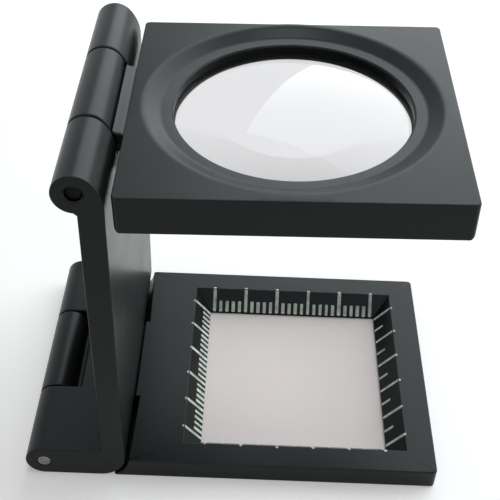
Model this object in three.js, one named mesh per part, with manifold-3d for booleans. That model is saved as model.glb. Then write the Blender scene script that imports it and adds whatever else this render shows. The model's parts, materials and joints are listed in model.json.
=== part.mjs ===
// Folding reading magnifier: a counting glass for cloth and print.
// A bevelled base with an engraved window, an upright riser and a lens plate, joined by two pinned hinges.
// Millimetres, +Z up, +X from the hinges to the free edge, +Y to the back.
// The origin lies on the table, under the middle of the object's bounding box.

import * as THREE from 'three';
import { mergeVertices } from 'three/addons/utils/BufferGeometryUtils.js';
import Module from 'manifold-3d';

// What all three plates share.
const plateDepth = 37.8;
const cornerRadius = 0.6;
const cutOverrun = 1;

// Base plate and its square window.
const basePlateThickness = 3.2;
const windowClearWidth = 26.2;
const windowLipHeight = 0.35;
const windowBevelRun = 2.35;
const freeEdgeRimWidth = 3.85;
const hingeSideRimWidth = 6.9;

// Engraved scale on the window's bevels.
const scaleDivision = 5;
const scaleDivisionCount = 5;
const fineTicksPerDivision = 5;
const coarseTicksPerDivision = 2;
const fineTickWidth = 0.55;
const coarseTickWidth = 0.34;
const tickDepth = 0.12;
const tickEdgeBreak = 0.35;
const shortTickLength = 1.75;

// Riser: an upright plate on a foot that reaches back to the lower hinge.
const riserThickness = 3;
const riserBaseGap = 0.7;
const riserMiddleGap = 0.2;
const riserHeelRadius = 3.6;
const footReach = 8;
const tongueRunningGap = 0.3;
const footNotchGap = 0.8;
const footNotchChamfer = 0.45;
const shoulderDrop = 1.6;
const shoulderLeanAngle = 35 * Math.PI / 180;

// Hinges: three knuckles on a pin, at the foot and at the top of the riser.
const barrelRadius = 2.5;
const upperAxisHeight = 48.7;
const upperAxisSetback = 0.2;
const middleKnuckleLength = 14.8;
const knuckleSideGap = 0.2;
const knuckleFloorGap = 0.35;
const pinRadius = 0.95;
const pinPressGap = 0.02;
const pinRunningGap = 0.1;
const upperPinRecess = 0.45;

// Lens plate.
const lensPlateLength = 39.1;
const lensPlateThickness = 4.95;
const lensPlateStart = 3.9;
const lensPlateDrop = 0.2;
const lensPlateEdgeRadius = 0.5;
const lensPlateRestAngle = 1.4 * Math.PI / 180;
const lensTongueThickness = 2.6;
const lensTongueRise = 0.2;
const lensTongueStepRun = 0.35;
const lensBossReach = 0.5;
const tongueRoot = 1;

// Dished mouth and stepped bore of the lens plate, measured down from its top face.
const dishSlopeWidth = 1.85;
const dishFloorWidth = 1.6;
const dishDepth = 0.85;
const dishFloorFall = 0.1;
const boreChamfer = 0.2;
const boreSetback = 0.5;
const lensSeatDepth = 2.1;
const lensSeatWidth = 0.55;

// Lens and the ring that holds it from below.
const lensRadius = 15;
const lensEdgeThickness = 1.6;
const lensUpperFaceRadius = 60;
const lensLowerFaceRadius = 300;
const lensSideGap = 0.1;
const lensSeatGap = 0.08;
const ringLandWidth = 1;
const ringThickness = 0.75;
const ringSlotWidth = 1.3;
const ringSlotDepth = 0.35;

// Facets of the round forms.
const barrelFacets = 48;
const pinFacets = 32;
const lensFacets = 96;
const lensRings = 8;
const quarterFacets = 6;

// Places that follow from the sizes above.
const halfDepth = plateDepth / 2;
const windowClearHalf = windowClearWidth / 2;
const windowMouthHalf = windowClearHalf + windowBevelRun;
const windowBevelRise = basePlateThickness - windowLipHeight;
const baseSpanLeft = windowMouthHalf + hingeSideRimWidth;
const baseSpanRight = windowMouthHalf + freeEdgeRimWidth;
const lowerAxisFromWindow = -(baseSpanLeft + riserBaseGap + riserThickness + footReach);
const windowX = -(baseSpanRight + lowerAxisFromWindow - barrelRadius) / 2;
const baseRightX = windowX + baseSpanRight;
const baseLeftX = windowX - baseSpanLeft;
const riserInnerX = baseLeftX - riserBaseGap;
const riserOuterX = riserInnerX - riserThickness;
const lowerAxisX = windowX + lowerAxisFromWindow;
const lowerAxisZ = barrelRadius;
const footTopZ = 2 * barrelRadius;
const tongueTopZ = lowerAxisZ - tongueRunningGap;
const heelCentreX = riserInnerX - riserHeelRadius;
const upperAxisX = riserOuterX - upperAxisSetback;
const upperAxisZ = upperAxisHeight;
const halfKnuckle = middleKnuckleLength / 2;
const halfNotch = halfKnuckle + knuckleSideGap;
const upperNotchFloorZ = upperAxisZ - barrelRadius - knuckleFloorGap;
const footNotchWallX = lowerAxisX + barrelRadius + footNotchGap;
const plateTopZ = -lensPlateDrop;
const plateBottomZ = plateTopZ - lensPlateThickness;
const plateEndX = lensPlateStart + lensPlateLength;
const lensCentreX = lensPlateStart + lensPlateLength / 2;
const lensBoreRadius = lensRadius + lensSideGap;
const ringInnerRadius = lensRadius - ringLandWidth;
const boreRadius = lensRadius - lensSeatWidth;
const dishFloorRadius = boreRadius + dishFloorWidth;
const dishRadius = dishFloorRadius + dishSlopeWidth;
const lensTopEdgeZ = plateTopZ - lensSeatDepth - lensSeatGap - lensBulge(lensUpperFaceRadius, boreRadius);
const lensBottomEdgeZ = lensTopEdgeZ - lensEdgeThickness;
const reach = plateDepth + upperAxisHeight;

const wasm = await Module();
wasm.setup();

// A closed three.js geometry as a solid that can be joined and cut.
function toSolid(geometry) {
  const bare = geometry.index ? geometry.toNonIndexed() : geometry.clone();
  bare.deleteAttribute('normal');
  bare.deleteAttribute('uv');
  const merged = mergeVertices(bare);
  return new wasm.Manifold(new wasm.Mesh({
    numProp: 3,
    vertProperties: new Float32Array(merged.attributes.position.array),
    triVerts: new Uint32Array(merged.index.array),
  }));
}

// The solid's surface as a three.js geometry.
function toGeometry(solid) {
  const mesh = solid.getMesh();
  const geometry = new THREE.BufferGeometry();
  geometry.setAttribute('position', new THREE.BufferAttribute(new Float32Array(mesh.vertProperties), 3));
  geometry.setIndex(new THREE.BufferAttribute(new Uint32Array(mesh.triVerts), 1));
  geometry.computeVertexNormals();
  return geometry;
}

// Points of an arc about a centre, from one angle to another, ends included.
function arc(centreX, centreY, radius, start, end, steps) {
  const points = [];
  for (let i = 0; i <= steps; i += 1) {
    const angle = start + (end - start) * i / steps;
    points.push(new THREE.Vector2(centreX + radius * Math.cos(angle), centreY + radius * Math.sin(angle)));
  }
  return points;
}

function corner(x, y) {
  return new THREE.Vector2(x, y);
}

// A side outline, drawn in X and Z, carried straight along Y.
function acrossDepth(points, fromY, toY) {
  const geometry = new THREE.ExtrudeGeometry(new THREE.Shape(points), {
    depth: toY - fromY,
    bevelEnabled: false,
    curveSegments: 1,
  });
  geometry.rotateX(Math.PI / 2);
  geometry.translate(0, toY, 0);
  return toSolid(geometry);
}

// A plan outline, drawn in X and Y, carried straight up.
function upwards(points, fromZ, toZ) {
  const geometry = new THREE.ExtrudeGeometry(new THREE.Shape(points), {
    depth: toZ - fromZ,
    bevelEnabled: false,
    curveSegments: 1,
  });
  geometry.translate(0, 0, fromZ);
  return toSolid(geometry);
}

function block(fromX, toX, fromY, toY, fromZ, toZ) {
  const geometry = new THREE.BoxGeometry(toX - fromX, toY - fromY, toZ - fromZ);
  geometry.translate((fromX + toX) / 2, (fromY + toY) / 2, (fromZ + toZ) / 2);
  return toSolid(geometry);
}

// A round bar along Y.
function bar(x, z, radius, fromY, toY, facets) {
  return acrossDepth(arc(x, z, radius, 0, 2 * Math.PI, facets).slice(0, -1), fromY, toY);
}

// A profile of radius and height turned about the vertical axis.
function turned(profile, facets) {
  const geometry = new THREE.LatheGeometry(profile, facets);
  geometry.rotateX(Math.PI / 2);
  return toSolid(geometry);
}

// A plan outline with its corners rounded, counter-clockwise.
function roundedPlan(fromX, toX, halfY, radius) {
  const quarter = Math.PI / 2;
  return [
    ...arc(toX - radius, halfY - radius, radius, 0, quarter, quarterFacets),
    ...arc(fromX + radius, halfY - radius, radius, quarter, 2 * quarter, quarterFacets),
    ...arc(fromX + radius, radius - halfY, radius, 2 * quarter, 3 * quarter, quarterFacets),
    ...arc(toX - radius, radius - halfY, radius, 3 * quarter, 4 * quarter, quarterFacets),
  ];
}

// The heel of the riser, where its inner face turns under the foot, grown by a gap.
// It covers one stretch of the depth.
function heelClearance(gap, fromY, toY) {
  const radius = riserHeelRadius + gap;
  const lowZ = riserHeelRadius - radius;
  return acrossDepth([
    corner(lowerAxisX - reach, lowZ),
    ...arc(heelCentreX, riserHeelRadius, radius, -Math.PI / 2, 0, 2 * quarterFacets),
    corner(riserInnerX + gap, footTopZ + cutOverrun),
    corner(lowerAxisX - reach, footTopZ + cutOverrun),
  ], fromY, toY);
}

// The window: a straight lip below and four bevels that open upwards past the top face.
function windowCut() {
  const slope = windowBevelRun / windowBevelRise;
  const topHalf = windowMouthHalf + slope * cutOverrun;
  const height = windowBevelRise + cutOverrun;
  const funnel = new THREE.CylinderGeometry(topHalf * Math.SQRT2, windowClearHalf * Math.SQRT2, height, 4, 1);
  funnel.rotateX(Math.PI / 2);
  funnel.rotateZ(Math.PI / 4);
  funnel.translate(windowX, 0, windowLipHeight + height / 2);
  const lip = block(
    windowX - windowClearHalf,
    windowX + windowClearHalf,
    -windowClearHalf,
    windowClearHalf,
    -cutOverrun,
    windowLipHeight + tickDepth,
  );
  return toSolid(funnel).add(lip);
}

// One engraved line on a bevel: a bar laid up the slope, sunk by the tick's depth.
function tickCut(turn, along, length, width) {
  const slopeLength = Math.hypot(windowBevelRun, windowBevelRise);
  const up = windowBevelRise / slopeLength;
  const out = windowBevelRun / slopeLength;
  const geometry = new THREE.BoxGeometry(width, length, 2 * tickDepth);
  const toSlope = new THREE.Matrix4().makeBasis(
    new THREE.Vector3(1, 0, 0),
    new THREE.Vector3(0, out, up),
    new THREE.Vector3(0, -up, out),
  );
  geometry.applyMatrix4(toSlope);
  const middle = length / 2;
  geometry.translate(along, windowClearHalf + out * middle, windowLipHeight + up * middle);
  geometry.rotateZ(turn);
  geometry.translate(windowX, 0, 0);
  return toSolid(geometry);
}

// A scale along one side of the window: a long line at each division and short ones between.
function scaleCut(turn, ticksPerDivision, width) {
  const longTick = Math.hypot(windowBevelRun, windowBevelRise) + tickEdgeBreak;
  const span = scaleDivision * scaleDivisionCount;
  const count = scaleDivisionCount * ticksPerDivision;
  let cut = null;
  for (let i = 0; i <= count; i += 1) {
    const length = i % ticksPerDivision === 0 ? longTick : shortTickLength;
    const tick = tickCut(turn, span * i / count - span / 2, length, width);
    cut = cut ? cut.add(tick) : tick;
  }
  return cut;
}

function baseFrame() {
  const plan = roundedPlan(heelCentreX, baseRightX, halfDepth, cornerRadius);
  const past = halfDepth + cutOverrun;
  const plate = upwards(plan, 0, basePlateThickness)
    .subtract(heelClearance(riserMiddleGap, -past, past))
    .subtract(heelClearance(riserBaseGap, -past, -halfKnuckle))
    .subtract(heelClearance(riserBaseGap, halfKnuckle, past));
  const tongueEndX = baseLeftX + hingeSideRimWidth / 2;
  const tongue = block(lowerAxisX, tongueEndX, -halfKnuckle, halfKnuckle, 0, tongueTopZ);
  const knuckle = bar(lowerAxisX, lowerAxisZ, barrelRadius, -halfKnuckle, halfKnuckle, barrelFacets);
  const bore = bar(
    lowerAxisX,
    lowerAxisZ,
    pinRadius + pinRunningGap,
    -halfKnuckle - cutOverrun,
    halfKnuckle + cutOverrun,
    pinFacets,
  );
  return plate.add(tongue).add(knuckle)
    .subtract(bore)
    .subtract(windowCut())
    .subtract(scaleCut(0, fineTicksPerDivision, fineTickWidth))
    .subtract(scaleCut(Math.PI / 2, fineTicksPerDivision, fineTickWidth))
    .subtract(scaleCut(-Math.PI / 2, coarseTicksPerDivision, coarseTickWidth))
    .subtract(scaleCut(Math.PI, coarseTicksPerDivision, coarseTickWidth));
}

// Side outline of the riser: foot, heel, upright, shoulder and the round end at the top.
function riserOutline() {
  const faceAngle = Math.acos(upperAxisSetback / barrelRadius);
  return [
    corner(lowerAxisX, 0),
    ...arc(heelCentreX, riserHeelRadius, riserHeelRadius, -Math.PI / 2, 0, 2 * quarterFacets),
    corner(riserInnerX, upperAxisZ - shoulderDrop),
    ...arc(upperAxisX, upperAxisZ, barrelRadius, shoulderLeanAngle, 2 * Math.PI - faceAngle, barrelFacets),
    corner(riserOuterX, footTopZ),
    ...arc(lowerAxisX, lowerAxisZ, barrelRadius, Math.PI / 2, Math.PI * 3 / 2, barrelFacets / 2).slice(0, -1),
  ];
}

// The bay in the end of the foot that the base's knuckle turns in, with a chamfered wall.
function footNotch() {
  return acrossDepth([
    corner(lowerAxisX - reach, -cutOverrun),
    corner(footNotchWallX, -cutOverrun),
    corner(footNotchWallX, footTopZ - footNotchChamfer),
    corner(footNotchWallX + footNotchChamfer, footTopZ),
    corner(footNotchWallX + footNotchChamfer, footTopZ + cutOverrun),
    corner(lowerAxisX - reach, footTopZ + cutOverrun),
  ], -halfNotch, halfNotch);
}

function riser() {
  const tongueWay = block(lowerAxisX, baseLeftX, -halfNotch, halfNotch, -cutOverrun, lowerAxisZ);
  const upperNotch = block(
    upperAxisX - reach,
    upperAxisX + reach,
    -halfNotch,
    halfNotch,
    upperNotchFloorZ,
    upperAxisZ + reach,
  );
  const pinHole = pinRadius + pinPressGap;
  const through = halfDepth + cutOverrun;
  return acrossDepth(riserOutline(), -halfDepth, halfDepth)
    .subtract(footNotch())
    .subtract(tongueWay)
    .subtract(upperNotch)
    .subtract(bar(lowerAxisX, lowerAxisZ, pinHole, -through, through, pinFacets))
    .subtract(bar(upperAxisX, upperAxisZ, pinHole, -through, through, pinFacets));
}

// Everything taken out of the lens plate: dish, bore and the wider seat below, as one turned form.
function lensMouthCut() {
  const floorZ = plateTopZ - dishDepth;
  const boreTopZ = floorZ - dishFloorFall;
  const seatZ = plateTopZ - lensSeatDepth;
  const cut = turned([
    corner(0, plateTopZ + cutOverrun),
    corner(dishRadius, plateTopZ + cutOverrun),
    corner(dishRadius, plateTopZ),
    corner(dishFloorRadius, floorZ),
    corner(boreRadius + boreChamfer, boreTopZ),
    corner(boreRadius, boreTopZ - boreChamfer),
    corner(boreRadius, seatZ),
    corner(lensBoreRadius, seatZ),
    corner(lensBoreRadius, plateBottomZ - cutOverrun),
    corner(0, plateBottomZ - cutOverrun),
  ].reverse(), lensFacets);
  return cut.translate([lensCentreX, boreSetback, 0]);
}

function lensFrame() {
  const radius = lensPlateEdgeRadius;
  const side = [
    ...arc(lensPlateStart + radius, plateBottomZ + radius, radius, Math.PI, Math.PI * 3 / 2, quarterFacets),
    ...arc(plateEndX - radius, plateBottomZ + radius, radius, Math.PI * 3 / 2, 2 * Math.PI, quarterFacets),
    corner(plateEndX, plateTopZ),
    corner(lensPlateStart, plateTopZ),
  ];
  const plan = roundedPlan(lensPlateStart, plateEndX, halfDepth, cornerRadius);
  const plate = acrossDepth(side, -halfDepth, halfDepth).intersect(upwards(plan, plateBottomZ, plateTopZ));
  const tongueTop = plateTopZ + lensTongueRise;
  const tongueLow = tongueTop - lensTongueThickness;
  const bossX = lensPlateStart - lensBossReach;
  const tongue = acrossDepth([
    corner(0, tongueLow),
    corner(bossX, tongueLow),
    corner(bossX, plateBottomZ + radius),
    corner(bossX + radius, plateBottomZ),
    corner(lensPlateStart + tongueRoot, plateBottomZ),
    corner(lensPlateStart + tongueRoot, (tongueLow + plateTopZ) / 2),
    corner(lensPlateStart, plateTopZ),
    corner(lensPlateStart - lensTongueStepRun, tongueTop),
    corner(0, tongueTop),
  ], -halfKnuckle, halfKnuckle);
  const knuckle = bar(0, 0, barrelRadius, -halfKnuckle, halfKnuckle, barrelFacets);
  const bore = bar(
    0,
    0,
    pinRadius + pinRunningGap,
    -halfKnuckle - cutOverrun,
    halfKnuckle + cutOverrun,
    pinFacets,
  );
  return plate.add(tongue).add(knuckle).subtract(bore).subtract(lensMouthCut());
}

// How far a point of a lens face stands out from the face's rim, at a distance from the axis.
function lensBulge(faceRadius, distance) {
  return Math.sqrt(faceRadius ** 2 - distance ** 2) - Math.sqrt(faceRadius ** 2 - lensRadius ** 2);
}

function lens() {
  const upper = [];
  const lower = [];
  for (let i = 0; i <= lensRings; i += 1) {
    const distance = lensRadius * i / lensRings;
    lower.push(corner(distance, lensBottomEdgeZ - lensBulge(lensLowerFaceRadius, distance)));
    upper.push(corner(distance, lensTopEdgeZ + lensBulge(lensUpperFaceRadius, distance)));
  }
  return turned([...lower, ...upper.reverse()], lensFacets).translate([lensCentreX, boreSetback, 0]);
}

// The ring under the lens, with two slots for the key that turns it home.
function retainingRing() {
  const topZ = lensBottomEdgeZ - lensBulge(lensLowerFaceRadius, ringInnerRadius) - lensSeatGap;
  const outerRadius = lensRadius + lensSideGap / 2;
  const bottomZ = topZ - ringThickness;
  const ring = turned([
    corner(ringInnerRadius, bottomZ),
    corner(outerRadius, bottomZ),
    corner(outerRadius, topZ),
    corner(ringInnerRadius, topZ),
    corner(ringInnerRadius, bottomZ),
  ], lensFacets);
  const slot = block(
    -lensRadius - cutOverrun,
    lensRadius + cutOverrun,
    -ringSlotWidth / 2,
    ringSlotWidth / 2,
    bottomZ - cutOverrun,
    bottomZ + ringSlotDepth,
  );
  return ring.subtract(slot).translate([lensCentreX, boreSetback, 0]);
}

function pin(recess) {
  return bar(0, 0, pinRadius, recess - halfDepth, halfDepth - recess, pinFacets);
}

function piece(name, solid, color, roughness, metalness) {
  const material = new THREE.MeshStandardMaterial({ color, roughness, metalness });
  const mesh = new THREE.Mesh(toGeometry(solid), material);
  mesh.name = name;
  return mesh;
}

const magnifier = new THREE.Group();

magnifier.add(piece('base_frame', baseFrame(), 0x2b2f31, 0.45, 0.3));
magnifier.add(piece('riser', riser(), 0x262827, 0.45, 0.3));

const lowerPin = piece('lower_hinge_pin', pin(0), 0x6d6f6c, 0.35, 0.9);
lowerPin.position.set(lowerAxisX, 0, lowerAxisZ);
magnifier.add(lowerPin);

const upperPin = piece('upper_hinge_pin', pin(upperPinRecess), 0x6d6f6c, 0.35, 0.9);
upperPin.position.set(upperAxisX, 0, upperAxisZ);
magnifier.add(upperPin);

// The lens plate stands a little above square on its stop, so its whole group is tilted about the upper pin.
const lensGroup = new THREE.Group();
lensGroup.position.set(upperAxisX, 0, upperAxisZ);
lensGroup.rotation.y = -lensPlateRestAngle;
lensGroup.add(piece('lens_frame', lensFrame(), 0x34383b, 0.42, 0.3));
lensGroup.add(piece('lens', lens(), 0xdfe6ea, 0.05, 0));
lensGroup.add(piece('lens_retaining_ring', retainingRing(), 0x1d1e1f, 0.5, 0.4));
magnifier.add(lensGroup);

export default magnifier;
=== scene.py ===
"""Folding reading magnifier: a counting glass with a base, a riser and a lens plate on two hinges.

Metres, +Z up, +X from the hinges to the free edge, +Y to the back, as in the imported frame.
"""

import json
import math

import bmesh
import bpy
import numpy as np
from mathutils import Matrix, Vector


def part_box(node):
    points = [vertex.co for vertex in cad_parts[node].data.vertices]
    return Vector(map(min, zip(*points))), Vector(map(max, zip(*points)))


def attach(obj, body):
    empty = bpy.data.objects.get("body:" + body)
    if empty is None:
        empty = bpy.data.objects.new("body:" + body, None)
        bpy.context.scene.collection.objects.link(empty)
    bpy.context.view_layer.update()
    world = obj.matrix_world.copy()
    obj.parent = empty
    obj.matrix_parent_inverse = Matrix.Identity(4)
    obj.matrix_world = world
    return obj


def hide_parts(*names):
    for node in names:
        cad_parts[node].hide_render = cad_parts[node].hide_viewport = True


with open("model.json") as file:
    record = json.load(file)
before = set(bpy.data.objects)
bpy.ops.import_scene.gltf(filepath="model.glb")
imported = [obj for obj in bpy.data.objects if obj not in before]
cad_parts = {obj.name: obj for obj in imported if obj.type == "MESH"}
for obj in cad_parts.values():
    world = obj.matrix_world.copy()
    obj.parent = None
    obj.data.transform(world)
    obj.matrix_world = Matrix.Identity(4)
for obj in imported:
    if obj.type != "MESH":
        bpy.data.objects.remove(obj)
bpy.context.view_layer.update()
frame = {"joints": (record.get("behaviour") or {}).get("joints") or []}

bl_info = {
    "name": "Folding reading magnifier",
    "version": (1, 0, 0),
    "blender": (4, 5, 0),
    "location": "3D View > Sidebar > Magnifier",
    "description": "Builds a folding counting glass around its packed frame",
    "category": "Add Mesh",
}

# Places that the frame gives.
HINGES = {joint["name"]: joint["pos_m"] for joint in frame["joints"]}
LOWER_X, _, LOWER_Z = HINGES["base_hinge"]
UPPER_X, _, UPPER_Z = HINGES["lens_hinge"]
_, BASE_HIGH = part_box("base_frame")
_, RISER_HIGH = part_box("riser")
LENS_LOW, LENS_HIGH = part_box("lens")
PIN_LOW, PIN_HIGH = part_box("upper_hinge_pin")
HALF_DEPTH = BASE_HIGH.y
BARREL_RADIUS = LOWER_Z
LENS_RADIUS = (LENS_HIGH.y - LENS_LOW.y) / 2
LENS_SETBACK = (LENS_HIGH.y + LENS_LOW.y) / 2
PIN_RADIUS = (PIN_HIGH.z - PIN_LOW.z) / 2
UPPER_PIN_END = PIN_HIGH.y

# How finely the surfaces are drawn.
SIDE_COLUMNS = 96
CORNER_COLUMNS = 6
EDGE_STEPS = 4
FINE_EDGE_STEPS = 6
BARREL_STEPS = 110
KNUCKLE_STEPS = 96
FOOT_END_STEPS = 64
HEEL_STEPS = 32
SHOULDER_STEPS = 24
FOOT_TOP_STEPS = 40
SOLE_STEPS = 24
HOLLOW_POINTS = 18
BESIDE_KNUCKLE_POINTS = 29
AT_KNUCKLE_POINTS = 37
FILLET_STEPS = 8
ROUND_STEPS = 64
LENS_STEPS = 192
FACE_STEPS = 48
RING_STEPS = 90
SLOT_POINTS = 7
LINE_STEPS = np.concatenate([[0.0, 0.008, 0.03], np.linspace(0.06, 0.94, 15), [0.97, 0.992, 1.0]])
LINE_ACROSS = np.array([-1.0, -0.92, -0.7, -0.35, 0.0, 0.35, 0.7, 0.92, 1.0])

# The camera's image in pixels, its sensor in millimetres and the nearest place that it shows.
IMAGE_SIZE = 500.0
SENSOR_WIDTH = 36.0
NEAREST_SEEN = 0.01

# Points that lie closer than this are one.
CLOSEST = 1e-7

# How wide the wall of a ring's slot is drawn, as a share of half the slot.
SLOT_WALL_SHARE = 1 / 50

# The least corner radius, as a share of the edge's radius.
LEAST_CORNER_SHARE = 1 / 8

# The radius at the dish's floor, as a share of the radius at its rim.
DISH_FLOOR_SHARE = 0.7

# The radius of the bore's mouth, as a share of its chamfer.
BORE_MOUTH_SHARE = 1 / 3

# Edges that turn by more than these degrees stay sharp.
SHARP_ANGLE = 32.0
LENS_SHARP_ANGLE = 20.0

# How pale the edges are drawn, against the window's edge: partly rubbed wear, partly a painted edge
# highlight.
BASE_EDGE_LIT_WEAR = 0.2
LENS_PLATE_FOOT_LIT_WEAR = 0.3
BORE_EDGE_LIT_WEAR = 0.8

# How far the bore's pale edge reaches outwards and down, in widths of its chamfer: partly rubbed wear,
# partly a painted highlight on the chamfer.
BORE_LIT_WEAR_REACH = 1.6
BORE_LIT_WEAR_DEPTH = 2.0

# How the painted lines vary, and how blunt their ends are.
LINE_SEED = 11
LINE_LENGTH_SPREAD = 0.018
LINE_WIDTH_SPREAD = 0.07
LINE_END_POWER = 24
LEAST_SWELL = 0.05

SIZES_SCENE_NAME = "magnifier_sizes"
FINISH_SCENE_NAME = "magnifier_finish"
STUDIO_SCENE_NAME = "magnifier_studio"


def length(name, description, default):
    return bpy.props.FloatProperty(
        name=name, description=description, default=default, min=0.0, unit="LENGTH", precision=5)


def angle(name, description, degrees):
    return bpy.props.FloatProperty(
        name=name, description=description, default=math.radians(degrees), unit="ROTATION")


def colour(name, description, default):
    return bpy.props.FloatVectorProperty(
        name=name, description=description, default=default, size=3, min=0.0, max=1.0, subtype="COLOR")


def position(name, description, default):
    return bpy.props.FloatVectorProperty(
        name=name, description=description, default=default, size=3,
        subtype="TRANSLATION", unit="LENGTH")


def share(name, description, default):
    return bpy.props.FloatProperty(
        name=name, description=description, default=default, min=0.0, max=1.0, subtype="FACTOR")


class MAGNIFIER_PG_sizes(bpy.types.PropertyGroup):
    """Sizes of the plates, hinges, lens and scale."""

    plate_thickness: length("Base thickness", "Thickness of the base plate", 0.0032)
    window_width: length("Window width", "Clear width of the square window", 0.0262)
    window_lip: length("Window lip", "Height of the straight lip below the bevels", 0.00035)
    bevel_run: length("Bevel run", "How far each bevel runs outwards", 0.00235)
    free_rim: length("Free rim", "Flat rim at the free edge, from the bevel outwards", 0.00385)
    corner_radius: length("Corner radius", "Radius of the plates' upright corners", 0.0006)
    left_corner_round: length("Left corner round", "Radius of the base's corners at the riser", 0.00035)
    edge_round: length("Edge round", "Radius of the plates' edges", 0.00016)
    mouth_round: length("Mouth round", "Radius of the window's upper edge", 0.0001)
    riser_thickness: length("Riser thickness", "Thickness of the upright plate", 0.003)
    riser_gap: length("Riser gap", "Gap between the base plate and the riser beside the knuckle", 0.0008)
    end_gap: length("End gap", "Gap between the base plate and the riser at the plate's ends", 0.00045)
    middle_gap: length("Middle gap", "Gap between the base plate and the riser at the knuckle", 0.0002)
    gap_step: length("Gap step", "Width of the step between the two gaps", 0.00005)
    heel_radius: length("Heel radius", "Radius where the riser turns under the foot", 0.0036)
    knuckle_length: length("Knuckle length", "Length of each middle knuckle", 0.0148)
    knuckle_gap: length("Knuckle gap", "Side gap between two knuckles", 0.0002)
    knuckle_floor_gap: length("Knuckle floor gap", "Gap between the upper knuckle and the riser", 0.00035)
    knuckle_round: length("Knuckle round", "Radius of the knuckles' end edges", 0.0003)
    notch_gap: length("Notch gap", "Gap between the lower knuckle and the foot", 0.0008)
    notch_chamfer: length("Notch chamfer", "Chamfer along the wall of the foot's bay", 0.00045)
    shoulder_lean: angle("Shoulder lean", "Where the riser's round shoulder leaves the barrel", 40.0)
    pin_mouth: length("Pin mouth", "Countersink round the ends of the upper pin", 0.00024)
    pin_gap: length("Pin gap", "Clearance round each pin in its outer knuckles", 0.00002)
    running_gap: length("Running gap", "Clearance round each pin in its middle knuckle", 0.0001)
    pin_end_round: length("Pin end round", "Radius on the ends of the pins", 0.00022)
    lens_plate_length: length("Lens plate length", "Length of the lens plate", 0.0391)
    lens_plate_thickness: length("Lens plate thickness", "Thickness of the lens plate", 0.00495)
    lens_plate_start: length("Lens plate start", "From the upper pin to the lens plate", 0.0039)
    lens_plate_drop: length("Lens plate drop", "Top of the lens plate below the upper pin", 0.0002)
    lens_edge_round: length("Lens plate end round", "Radius of the lens plate's lower end edges", 0.0007)
    rest_angle: angle("Rest angle", "How far the lens plate stands above square when open", 1.4)
    tongue_thickness: length("Tongue thickness", "Thickness of the lens plate's tongue", 0.0026)
    tongue_rise: length("Tongue rise", "Tongue above the lens plate's top", 0.0002)
    tongue_step: length("Tongue step", "Run of the step from the tongue down to the lens plate", 0.00035)
    tongue_bead: length("Tongue bead", "Height of the bead along the knuckle", 0.00022)
    tongue_bead_peak: length("Tongue bead peak", "From the knuckle to the top of that bead", 0.00025)
    tongue_bead_run: length("Tongue bead run", "From the knuckle to the end of that bead", 0.00075)
    boss_reach: length("Boss reach", "How far the plate's end stands out beside the riser", 0.0005)
    tongue_root: length("Tongue root", "How far a tongue runs into its plate", 0.001)
    lower_tongue_gap: length("Lower tongue gap", "Lower tongue below the pin's axis", 0.0003)
    dish_slope: length("Dish slope", "Width of the dish's slope", 0.00185)
    dish_floor: length("Dish floor", "Width of the dish's floor", 0.0016)
    dish_depth: length("Dish depth", "Depth of the dish", 0.00085)
    dish_fall: length("Dish fall", "How far the dish's floor falls to the bore", 0.0001)
    dish_round: length("Dish round", "Radius of the dish's soft edges", 0.0022)
    bore_chamfer: length("Bore chamfer", "Chamfer at the bore's mouth", 0.0002)
    seat_depth: length("Seat depth", "Depth of the lens seat below the plate's top", 0.0021)
    seat_width: length("Seat width", "Width of the lens seat", 0.00055)
    lens_edge: length("Lens edge", "Thickness of the lens at its edge", 0.0016)
    lens_bevel: length("Lens bevel", "Bevel on the lens's edges", 0.00012)
    lens_upper_radius: length("Upper face radius", "Radius of the lens's upper face", 0.06)
    lens_lower_radius: length("Lower face radius", "Radius of the lens's lower face", 0.3)
    lens_side_gap: length("Lens side gap", "Gap round the lens", 0.0001)
    lens_seat_gap: length("Lens seat gap", "Gap above and below the lens", 0.00008)
    ring_land: length("Ring land", "How far the ring reaches under the lens", 0.001)
    ring_thickness: length("Ring thickness", "Thickness of the retaining ring", 0.00075)
    ring_slot_width: length("Ring slot width", "Width of the ring's key slots", 0.0013)
    ring_slot_depth: length("Ring slot depth", "Depth of the ring's key slots", 0.00035)
    fine_tick_width: length("Fine tick width", "Width of a line on the back and left", 0.0005)
    coarse_tick_width: length("Coarse tick width", "Width of a line on the right and front", 0.00043)
    tick_depth: length("Tick depth", "Depth of a line below the bevel", 0.0001)
    tick_crown: length("Tick crown", "Height of the paint over the bevel", 0.00002)
    # The feet of the lines are drawn lighter over this share: a painted highlight.
    highlighted_foot: share("Thick end", "Part of a line, from its foot, where the paint lies thick", 0.22)
    tick_break: length("Tick break", "How far a long line runs on over the window's edge", 0.00028)
    short_tick: length("Short tick", "Length of a short line", 0.00175)
    division: length("Division", "Distance between two long lines", 0.005)
    divisions: bpy.props.IntProperty(
        name="Divisions", description="Main divisions on each side", default=5, min=1)
    fine_ticks: bpy.props.IntProperty(
        name="Fine ticks", description="Lines to a division on the back and left", default=5, min=1)
    coarse_ticks: bpy.props.IntProperty(
        name="Coarse ticks", description="Lines to a division on the right and front", default=2, min=1)


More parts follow.
